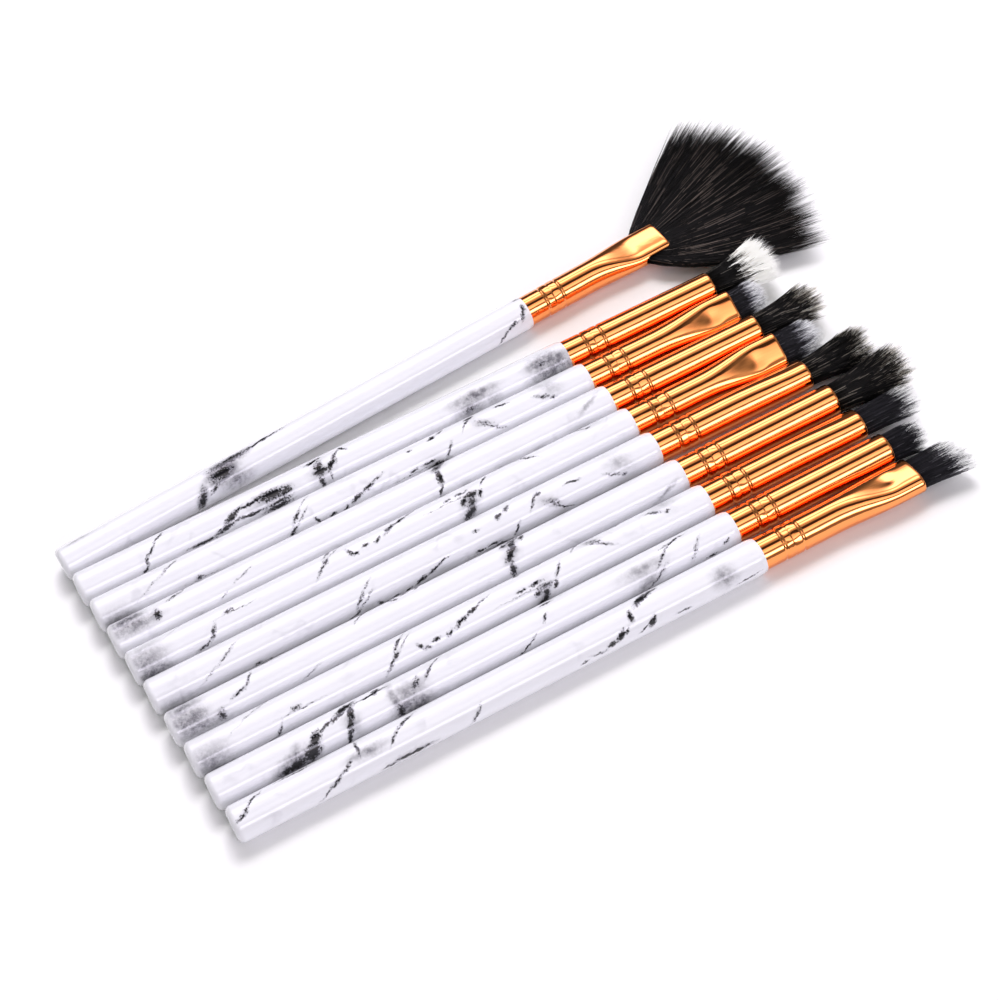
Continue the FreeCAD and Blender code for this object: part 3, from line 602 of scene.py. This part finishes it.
def lip_cutter():
    """Closed block that opens the fan's ferrule at both sides and rounds its lips' corners."""
    aside, up = CUTTERS_HALF_SIZE
    start, end = FERRULE_LENGTH - LIP_LENGTH, FERRULE_LENGTH + CUTTERS_END[0]
    back_width, mouth_width = LIP_HALF_WIDTHS
    corner_length, corner_depth = LIP_CORNER
    points, faces = [], []
    for side in (-1, 1):
        x = start + (end - start) * np.linspace(0, 1, 24)
        corner = np.clip((x - FERRULE_LENGTH + corner_length) / corner_length, 0, 1)
        y = back_width - (back_width - mouth_width) * np.clip((x - start) / LIP_LENGTH, 0, 1)
        y = y - corner_depth * corner**2.5
        outline = [(a, side * b) for a, b in zip(x, y)] + [(end, side * aside), (start, side * aside)]
        count, base = len(outline), len(points)
        points += [(a, b, z) for z in (-up, up) for a, b in outline]
        faces += [tuple(range(base, base + count)), tuple(range(base + 2 * count - 1, base + count - 1, -1))]
        faces += [(base + k, base + (k + 1) % count, base + count + (k + 1) % count, base + count + k)
                  for k in range(count)]
    return points, faces


def slot_cutter():
    """Closed block across the fan's ferrule, with a round back, that parts the two lips."""
    half, start = SIDE_SLOT_HEIGHT / 2, FERRULE_LENGTH - LIP_LENGTH
    turn = np.linspace(math.pi / 2, 3 * math.pi / 2, 13)
    outline = [(start + half + half * math.cos(a), half * math.sin(a)) for a in turn]
    end, aside = FERRULE_LENGTH + CUTTERS_END[1], CUTTERS_HALF_SIZE[0]
    outline += [(end, -half), (end, half)]
    count = len(outline)
    points = [(x, y, z) for y in (-aside, aside) for x, z in outline]
    faces = [tuple(range(count)), tuple(range(2 * count - 1, count - 1, -1))]
    faces += [(k, (k + 1) % count, count + (k + 1) % count, count + k) for k in range(count)]
    return points, faces


def cut(piece, points, faces, name):
    """Take a closed block, given in the brush's own millimetres, out of a piece."""
    cutter = new_mesh("cutter", placed(np.array(points, float), name), faces, [])
    face_outwards(cutter.data)
    modifier = piece.modifiers.new("cut", "BOOLEAN")
    modifier.object = cutter
    modifier.operation = "DIFFERENCE"
    modifier.solver = "EXACT"
    depsgraph = bpy.context.evaluated_depsgraph_get()
    result = bpy.data.meshes.new_from_object(piece.evaluated_get(depsgraph))
    piece.modifiers.clear()
    piece.data = result
    bpy.data.objects.remove(cutter)


def make_ferrule(name, brush, material):
    """Ferrule with its grooves, pinch and dent, in place of the plainer CAD one."""
    points, faces = ring_skin(ferrule_points(brush))
    piece = new_mesh(f"{name}_ferrule_skin", placed(points, name), faces, [material])
    face_outwards(piece.data)
    if name == "fan":
        cut(piece, *lip_cutter(), name)
        cut(piece, *slot_cutter(), name)
    piece.data.set_sharp_from_angle(angle=math.radians(SHARP_ANGLE))
    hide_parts(f"{name}_ferrule")
    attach(piece, f"{name}_brush")


# ---- Hair

def strand_mesh(name, paths, radii, tones, materials):
    """One mesh of many tapered strands. paths (n, steps, 3) in metres, radii and tones (n, steps)."""
    count, steps = radii.shape
    tangent = np.gradient(paths, axis=1)
    tangent /= np.linalg.norm(tangent, axis=2, keepdims=True)
    side = np.cross(tangent, np.array(SIDE_HINT))
    side /= np.linalg.norm(side, axis=2, keepdims=True)
    top = np.cross(side, tangent)
    corners = []
    for k in range(STRAND_SIDES):
        a = 2 * math.pi * k / STRAND_SIDES + math.pi / 2
        corners.append(paths + radii[..., None] * (math.cos(a) * side + math.sin(a) * top))
    points = np.stack(corners, 2)[:, :-1].reshape(-1, 3)
    tips = paths[:, -1]
    rings = steps - 1
    first = np.arange(count)[:, None, None] * rings * STRAND_SIDES
    ring = np.arange(rings - 1)[None, :, None] * STRAND_SIDES
    k = np.arange(STRAND_SIDES)[None, None, :]
    following = (k + 1) % STRAND_SIDES
    a, b = first + ring + k, first + ring + following
    walls = np.stack([a, b, b + STRAND_SIDES, a + STRAND_SIDES], -1).reshape(-1, 4)
    last = first[:, 0] + (rings - 1) * STRAND_SIDES
    tip = count * rings * STRAND_SIDES + np.arange(count)[:, None]
    points_of_tips = np.broadcast_to(tip, (count, STRAND_SIDES))
    caps = np.stack([last + k[0], last + following[0], points_of_tips], -1)
    roots = np.stack([first[:, 0, 0] + 2, first[:, 0, 0] + 1, first[:, 0, 0]], -1)
    caps = np.concatenate([caps.reshape(-1, 3), roots])
    mesh = bpy.data.meshes.new(name)
    mesh.vertices.add(len(points) + count)
    mesh.vertices.foreach_set("co", np.concatenate([points, tips]).astype(np.float32).ravel())
    mesh.loops.add(walls.size + caps.size)
    mesh.loops.foreach_set("vertex_index", np.concatenate([walls.ravel(), caps.ravel()]).astype(np.int32))
    mesh.polygons.add(len(walls) + len(caps))
    starts = np.concatenate([np.arange(len(walls)) * 4, walls.size + np.arange(len(caps)) * 3])
    mesh.polygons.foreach_set("loop_start", starts.astype(np.int32))
    wall_tone = np.repeat(tones[:, : rings - 1], STRAND_SIDES, axis=1).ravel()
    cap_tone = np.repeat(tones[:, rings - 1], STRAND_SIDES)
    every_tone = np.concatenate([wall_tone, cap_tone, tones[:, 0]]).astype(np.int32)
    for material in materials:
        mesh.materials.append(material)
    mesh.update(calc_edges=True)
    mesh.polygons.foreach_set("material_index", every_tone)
    mesh.polygons.foreach_set("use_smooth", np.ones(len(mesh.polygons), bool))
    mesh.update()
    piece = bpy.data.objects.new(name, mesh)
    bpy.context.scene.collection.objects.link(piece)
    return piece


def in_disc(rng, count):
    """Random points in the unit disc, a little denser at the rim."""
    radius = rng.random(count) ** RIM_CROWDING
    angle = rng.random(count) * 2 * math.pi
    return np.stack([radius * np.cos(angle), radius * np.sin(angle)], 1)


def tone_steps(rng, shares, zone_start, colouring, spread, own):
    """Tone of a colouring that each strand shows at each of its steps; own is the strand's lock."""
    roots, tip_zone, (second, glint) = HAIR_COLOURS[colouring]
    tones = (rng.random((len(shares), 1)) < second).astype(int) + np.zeros(shares.shape, int)
    # Painted glints: random steps take the lighter glint tone in place of light caught by the hair.
    tones[rng.random(shares.shape) < glint] = len(roots) - 1
    wander = rng.normal(0, spread, (len(shares), 1)) + rng.normal(0, spread, (own.max() + 1, 1))[own]
    zone = (shares + wander - zone_start) / (1 - zone_start)
    for index, (start, _) in enumerate(tip_zone):
        tones[zone >= start] = len(roots) + index
    return tones


def make_tuft(name, brush, tuft, tones, seed):
    """Free hair of a brush: strands from inside the mouth that splay and end in ragged locks."""
    rng = np.random.default_rng(seed)
    count = tuft["strands"]
    length, width, height = tuft["size"]
    locks, draw, uneven = tuft["clumps"]
    spots, centres = in_disc(rng, count), in_disc(rng, locks)
    own = np.argmin(((spots[:, None] - centres[None]) ** 2).sum(2), 1)
    rim = np.linalg.norm(spots, axis=1)
    reach = 1 - tuft["cut"] * rim**CUT_POWER - tuft.get("slant", 0.0) * spots[:, 0]
    reach *= 1 - np.abs(rng.normal(0, uneven, locks))[own]
    reach *= 1 - np.abs(rng.normal(0, tuft["cut"] * CUT_SCATTER, count))
    lock_size = 1 / math.sqrt(locks)
    off_middle = np.linalg.norm(spots - centres[own], axis=1) / lock_size
    reach *= 1 - WISP * np.clip(off_middle, 0, WISP_LIMIT)
    grid = np.array(STRAND_GRID)[None] ** rng.uniform(*GRID_POWERS, (count, 1))
    grid[:, 0] = -ROOT_DEPTH / length
    shares = grid * np.where(grid > 0, reach[:, None], 1)
    progress = np.clip(shares / reach[:, None], 0, 1)
    pull = progress**PULL_POWER
    grip = (centres[own] - spots) * draw
    frizz = tuft["frizz"]
    wander = rng.normal(0, frizz, (count, 2)) + rng.normal(0, frizz * LOCK_WANDER, (locks, 2))[own]
    root_width, root_height = (size - 2 * FERRULE_WALL for size in brush["mouth"])
    splay = np.clip(shares, 0, 1) ** SPLAY_POWER
    half_w = (root_width + (width - root_width) * splay) / 2
    half_h = (root_height + (height - root_height) * splay) / 2
    y = half_w * (spots[:, :1] + grip[:, :1] * pull) * FILL + wander[:, :1] * pull
    z = half_h * (spots[:, 1:] + grip[:, 1:] * pull) * FILL + wander[:, 1:] * pull
    roll = math.radians(brush["roll"])
    lean_far, lean_up = (lean * splay**LEAN_POWER for lean in tuft["lean"])
    flat_y = y * math.cos(roll) - z * math.sin(roll) + lean_far
    up_z = y * math.sin(roll) + z * math.cos(roll)
    floor = FLOOR_CLEARANCE - PLACES[name].translation.z / MM
    half_z = np.hypot(half_w * math.sin(roll), half_h * math.cos(roll))
    up_z = up_z + np.maximum(lean_up, half_z + floor)
    up_z = np.maximum(up_z, floor + STRAND_RADIUS)
    x = FERRULE_LENGTH + shares * length
    paths = placed(np.stack([x, flat_y, up_z], 2).reshape(-1, 3), name).reshape(count, -1, 3)
    thin = 1 - TIP_TAPER[tuft["colouring"]] * smooth((progress - TAPER_START) / (1 - TAPER_START))
    radii = STRAND_RADIUS * MM * thin * rng.uniform(*STRAND_SIZES, (count, 1))
    dyed = (shares + progress) / 2
    tone = tone_steps(rng, dyed, 1 - tuft["tip_share"], tuft["colouring"], TONE_SPREAD, own)
    piece = strand_mesh(f"{name}_hair_strands", paths, radii, tone, tones[tuft["colouring"]])
    finish_hair(piece, [f"{name}_tuft"])


def finish_hair(piece, nodes):
    """Let hair stand for its CAD solids, which are hidden, and keep its mesh in the row's own metres."""
    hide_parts(*nodes)
    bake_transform(piece)


# Fan of hair. Its guides run from root to tip, in millimetres from the mouth, at the near edge, along
# the middle and at the far edge.
FAN_NEAR = ((-6.0, -3.3), (1.0, -15.4), (28.4, -23.2))
FAN_MIDDLE = ((-5.0, 0.0), (6.0, 0.8), (37.0, 6.4))
FAN_FAR = ((-6.0, 3.3), (-1.0, 9.2), (26.4, 29.0))
FAN_STRANDS = 5800
FAN_CLUMPS = 170
FAN_THICKNESS = (1.5, 1.2)  # at the mouth and at the tips
FAN_STRAND_RADIUS = 0.064
FAN_STRAND_SIZES = (0.75, 1.25)
FAN_TAPER = 0.7
FAN_CLUMP_SHIFT = 0.8  # how unevenly the locks are spaced, in half steps
FAN_MIX = 0.02  # how far neighbouring locks mix
FAN_SHORT = (0.03, 0.2, 6)  # usual and largest shortfall of a hair's length, and how rare a large one is
FAN_WISP = 0.035  # how much shorter the outer hair of a lock is than its middle
FAN_UNEVEN = 0.035
FAN_LONG = (0.015, 0.02, 0.06)  # share of hairs that stick out, and by how much at least and at most
FAN_LEAN = (0.010, 0.012)  # sideways lean of a hair and of a lock
FAN_STRAY = (0.03, 0.05)  # share of stray hairs, and their lean
FAN_DRAW = (0.8, 4)  # how far hair is drawn into its lock, and how late
FAN_RISE = 0.12
FAN_TIP_START = 0.84
FAN_TONE_SPREAD = 0.03
FAN_SEED = 100


def bezier(points, t):
    """Points on the quadratic curve through three control points, at shares t."""
    a, b, c = (np.array(p, float) for p in points)
    t = t[..., None]
    return a * (1 - t) ** 2 + 2 * b * t * (1 - t) + c * t**2


def make_fan(tones):
    """Flat fan of hair that leaves the ferrule at its mouth and through its open sides."""
    rng = np.random.default_rng(FAN_SEED)
    count = FAN_STRANDS
    spread = np.sort(rng.uniform(-1, 1, count))
    layer = rng.uniform(-1, 1, count)
    shift = rng.uniform(-FAN_CLUMP_SHIFT, FAN_CLUMP_SHIFT, FAN_CLUMPS)
    centres = np.linspace(-1, 1, FAN_CLUMPS) + shift / FAN_CLUMPS
    apart = abs(spread[:, None] - centres[None])
    own = np.argmin(apart + rng.uniform(0, FAN_MIX, (count, FAN_CLUMPS)), 1)
    off_middle = np.clip(abs(spread - centres[own]) * FAN_CLUMPS, 0, 2)
    usual, largest, rare = FAN_SHORT
    reach = 1 - np.abs(rng.normal(0, usual, count)) - rng.random(count) ** rare * largest
    reach -= FAN_WISP * off_middle
    reach -= np.abs(rng.normal(0, FAN_UNEVEN, FAN_CLUMPS))[own]
    long_share, least, most = FAN_LONG
    reach += (rng.random(count) > 1 - long_share) * rng.uniform(least, most, count)
    t = np.array(STRAND_GRID)[None] ** rng.uniform(*GRID_POWERS, (count, 1)) * reach[:, None]
    progress = t / reach[:, None]
    hair_lean, lock_lean = FAN_LEAN
    lean = rng.normal(0, hair_lean, count)
    lean += rng.normal(0, lock_lean, FAN_CLUMPS)[own] * (1 - spread**4)
    stray_share, stray_lean = FAN_STRAY
    stray = (rng.random(count) > 1 - stray_share) * rng.normal(0, stray_lean, count)
    amount, late = FAN_DRAW
    draw = (centres[own] - spread)[:, None] * amount * progress**late
    a = spread[:, None] + draw + (lean + stray)[:, None] * t**1.6
    near, middle, far = (bezier(g, t) for g in (FAN_NEAR, FAN_MIDDLE, FAN_FAR))
    a = a[..., None]
    flat = near * a * (a - 1) / 2 + middle * (1 - a**2) + far * a * (a + 1) / 2
    root, tip = FAN_THICKNESS
    thick = root + (tip - root) * t
    z = layer[:, None] * thick / 2 + rng.normal(0, FAN_RISE, (count, 1)) * t
    path = np.concatenate([flat + [FERRULE_LENGTH, 0], z[..., None]], 2)
    paths = placed(path.reshape(-1, 3), "fan").reshape(count, -1, 3)
    thin = 1 - FAN_TAPER * smooth((progress - TAPER_START) / (1 - TAPER_START))
    radii = FAN_STRAND_RADIUS * MM * thin * rng.uniform(*FAN_STRAND_SIZES, (count, 1))
    tone = tone_steps(rng, t, FAN_TIP_START, "black", FAN_TONE_SPREAD, own)
    piece = strand_mesh("fan_hair_strands", paths, radii, tone, tones["black"])
    finish_hair(piece, ["fan_tuft", "fan_hair_root"])


# ---- Studio

CAMERA_LENS = 69.45
CAMERA_HEADING = 17.99  # degrees, as the two after it
CAMERA_DIP = 52.08
CAMERA_ROLL = 11.96
CAMERA_FROM_BUTT = (2.09, -176.5, 288.23)  # millimetres from the filbert brush's butt
KEY_PLACE = (0.36, 0.42, 1.05)
KEY_SIZE = 0.5
KEY_POWER = 7
FLOOR_HALF_SIZE = 3.0
FLOOR_DROP = 0.00002  # keeps the floor just under the brushes


def make_camera():
    """Camera above the near side of the row, with the row running up to the right of its view."""
    data = bpy.data.cameras.new("camera")
    data.lens = CAMERA_LENS
    data.clip_start = 0.01
    camera = bpy.data.objects.new("camera", data)
    bpy.context.scene.collection.objects.link(camera)
    low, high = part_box("filbert_handle")
    butt = Vector((low.x, (low.y + high.y) / 2, (low.z + high.z) / 2))
    turn = (Matrix.Rotation(math.radians(-CAMERA_HEADING), 4, "Z")
            @ Matrix.Rotation(math.radians(90 - CAMERA_DIP), 4, "X")
            @ Matrix.Rotation(math.radians(-CAMERA_ROLL), 4, "Z"))
    camera.matrix_world = Matrix.Translation(butt + Vector(CAMERA_FROM_BUTT) * MM) @ turn
    bpy.context.scene.camera = camera


def add_key():
    """Soft square light above the far end of the row."""
    data = bpy.data.lights.new("key", "AREA")
    data.shape = "SQUARE"
    data.size = KEY_SIZE
    data.energy = KEY_POWER
    light = bpy.data.objects.new("key", data)
    place = Vector(KEY_PLACE)
    aim = (-place).to_track_quat("-Z", "Y").to_matrix().to_4x4()
    light.matrix_world = Matrix.Translation(place) @ aim
    light.visible_glossy = False
    bpy.context.scene.collection.objects.link(light)


# Light of the studio by angle over the row: 0 is level on the far side, 90 overhead, 180 level on the
# near side. Lamps with a lilac diffuser and dark cards hang over the table, side by side.
STUDIO_BANDS = ((0, (0.10, 0.09, 0.09)), (29, (0.10, 0.09, 0.09)), (33, (1.0, 0.95, 1.0)),
                (38, (3.6, 3.4, 4.0)), (48, (3.9, 3.7, 4.5)), (53, (1.2, 1.1, 1.1)),
                (56, (1.0, 0.95, 0.9)),
                (60, (3.8, 3.5, 4.1)), (69, (3.0, 2.6, 2.8)), (74, (0.70, 0.66, 0.6)),
                (84, (0.60, 0.57, 0.5)), (89, (0.05, 0.045, 0.045)), (103, (0.05, 0.045, 0.045)),
                (107, (1.3, 1.2, 1.2)), (119, (1.9, 1.75, 1.9)), (125, (2.2, 2.1, 2.2)),
                (129, (0.40, 0.38, 0.34)), (139, (0.35, 0.33, 0.30)), (143, (4.5, 4.2, 4.9)),
                (149, (7.5, 7.3, 8.6)), (155, (5.0, 4.6, 5.1)), (160, (0.9, 0.8, 0.8)),
                (164, (0.25, 0.22, 0.22)), (180, (0.30, 0.30, 0.28)))
# Beyond the ends of those lamps the room is dim, with one soft window on either side.
ROOM_BANDS = ((0, 0.12), (22, 0.14), (44, 0.74), (64, 0.22), (112, 0.22), (134, 0.80), (154, 0.16),
              (180, 0.14))
ROOM_TINT = (0.98, 1.0, 0.96)
LAMP_MIDDLE = 0.20  # sideways direction of the lamps, along the row's +X
LAMP_HALF_WIDTH = (0.22, 0.40)  # where their ends start and finish fading


def make_world():
    """Pale studio whose lamps and dark cards run along the row and show as streaks on the metal."""
    world = bpy.data.worlds.new("studio")
    bpy.context.scene.world = world
    world.use_nodes = True
    tree = world.node_tree
    new, link = tree.nodes.new, tree.links.new
    split = new("ShaderNodeSeparateXYZ")
    link(new("ShaderNodeTexCoord").outputs["Generated"], split.inputs[0])
    turn = new("ShaderNodeMath")
    turn.operation = "ARCTAN2"
    link(split.outputs["Z"], turn.inputs[0])
    link(split.outputs["Y"], turn.inputs[1])
    share = new("ShaderNodeMapRange")
    share.inputs["From Max"].default_value = math.pi
    link(turn.outputs[0], share.inputs["Value"])

    def light_bands(stops):
        """Background whose colour follows the angle over the row."""
        ramp_node = new("ShaderNodeValToRGB")
        elements = ramp_node.color_ramp.elements
        for _ in stops[2:]:
            elements.new(1.0)
        brightest = max(max(light) for _, light in stops)
        for element, (degrees, light) in zip(elements, stops):
            element.position = degrees / 180
            element.color = [level / brightest for level in light] + [1]
        link(share.outputs[0], ramp_node.inputs[0])
        background = new("ShaderNodeBackground")
        background.inputs["Strength"].default_value = brightest
        link(ramp_node.outputs[0], background.inputs["Color"])
        return background

    bands = light_bands(STUDIO_BANDS)
    room = light_bands([(degrees, [level * light for level in ROOM_TINT]) for degrees, light in ROOM_BANDS])
    offset = new("ShaderNodeMath")
    offset.operation = "SUBTRACT"
    link(split.outputs["X"], offset.inputs[0])
    offset.inputs[1].default_value = LAMP_MIDDLE
    away = new("ShaderNodeMath")
    away.operation = "ABSOLUTE"
    link(offset.outputs[0], away.inputs[0])
    ends = new("ShaderNodeMapRange")
    ends.interpolation_type = "SMOOTHSTEP"
    ends.inputs["From Min"].default_value, ends.inputs["From Max"].default_value = LAMP_HALF_WIDTH
    link(away.outputs[0], ends.inputs["Value"])
    pale = new("ShaderNodeBackground")
    pale.inputs["Color"].default_value = (1, 1, 1, 1)
    lamps_or_room, seen = new("ShaderNodeMixShader"), new("ShaderNodeMixShader")
    link(ends.outputs[0], lamps_or_room.inputs[0])
    link(bands.outputs[0], lamps_or_room.inputs[1])
    link(room.outputs[0], lamps_or_room.inputs[2])
    link(new("ShaderNodeLightPath").outputs["Is Camera Ray"], seen.inputs[0])
    link(lamps_or_room.outputs[0], seen.inputs[1])
    link(pale.outputs[0], seen.inputs[2])
    out = next(n for n in tree.nodes if n.type == "OUTPUT_WORLD")
    link(seen.outputs[0], out.inputs["Surface"])


def make_floor():
    """Large pale floor that the brushes lie on."""
    half = FLOOR_HALF_SIZE
    floor = new_mesh("floor", [(-half, -half, 0), (half, -half, 0), (half, half, 0), (-half, half, 0)],
                     [(0, 1, 2, 3)], [paper()])
    floor.location.z = -FLOOR_DROP


def make_studio():
    make_world()
    make_floor()
    add_key()
    make_camera()
    bpy.context.scene.view_settings.view_transform = "Standard"


# ---- The set

def dress_cad_nodes():
    """Materials of the CAD pieces that stay."""
    glue = epoxy()
    dark = bundle("bundle_black", rgb(0.006, 0.006, 0.006), rgb(0.03, 0.027, 0.025))
    slate = bundle("bundle_slate", rgb(0.015, 0.015, 0.02), rgb(0.06, 0.06, 0.07))
    for name in BRUSHES:
        light_hair = TUFTS.get(name, {}).get("colouring") in ("silver", "slate")
        looks = {"handle": marble(name, *BRUSHES[name]["marble"]), "glue_plug": glue,
                 "hair_root": slate if light_hair else dark}
        for piece, material in looks.items():
            node = frame["nodes"][f"{name}_{piece}"]
            node.data.materials.clear()
            node.data.materials.append(material)


def make_set():
    """Every material and every piece of the ten brushes."""
    dress_cad_nodes()
    gold = rose_gold()
    tones = {}
    for colouring, (roots, tip_zone, _) in HAIR_COLOURS.items():
        colours = [*roots, *(colour for _, colour in tip_zone)]
        tones[colouring] = [hair(colour, f"{colouring}_{i}", GLOSS[colouring])
                            for i, colour in enumerate(colours)]
    for name, brush in BRUSHES.items():
        make_ferrule(name, brush, gold)
    for seed, (name, tuft) in enumerate(TUFTS.items()):
        make_tuft(name, BRUSHES[name], tuft, tones, seed + 1)
    make_fan(tones)


make_set()
make_studio()
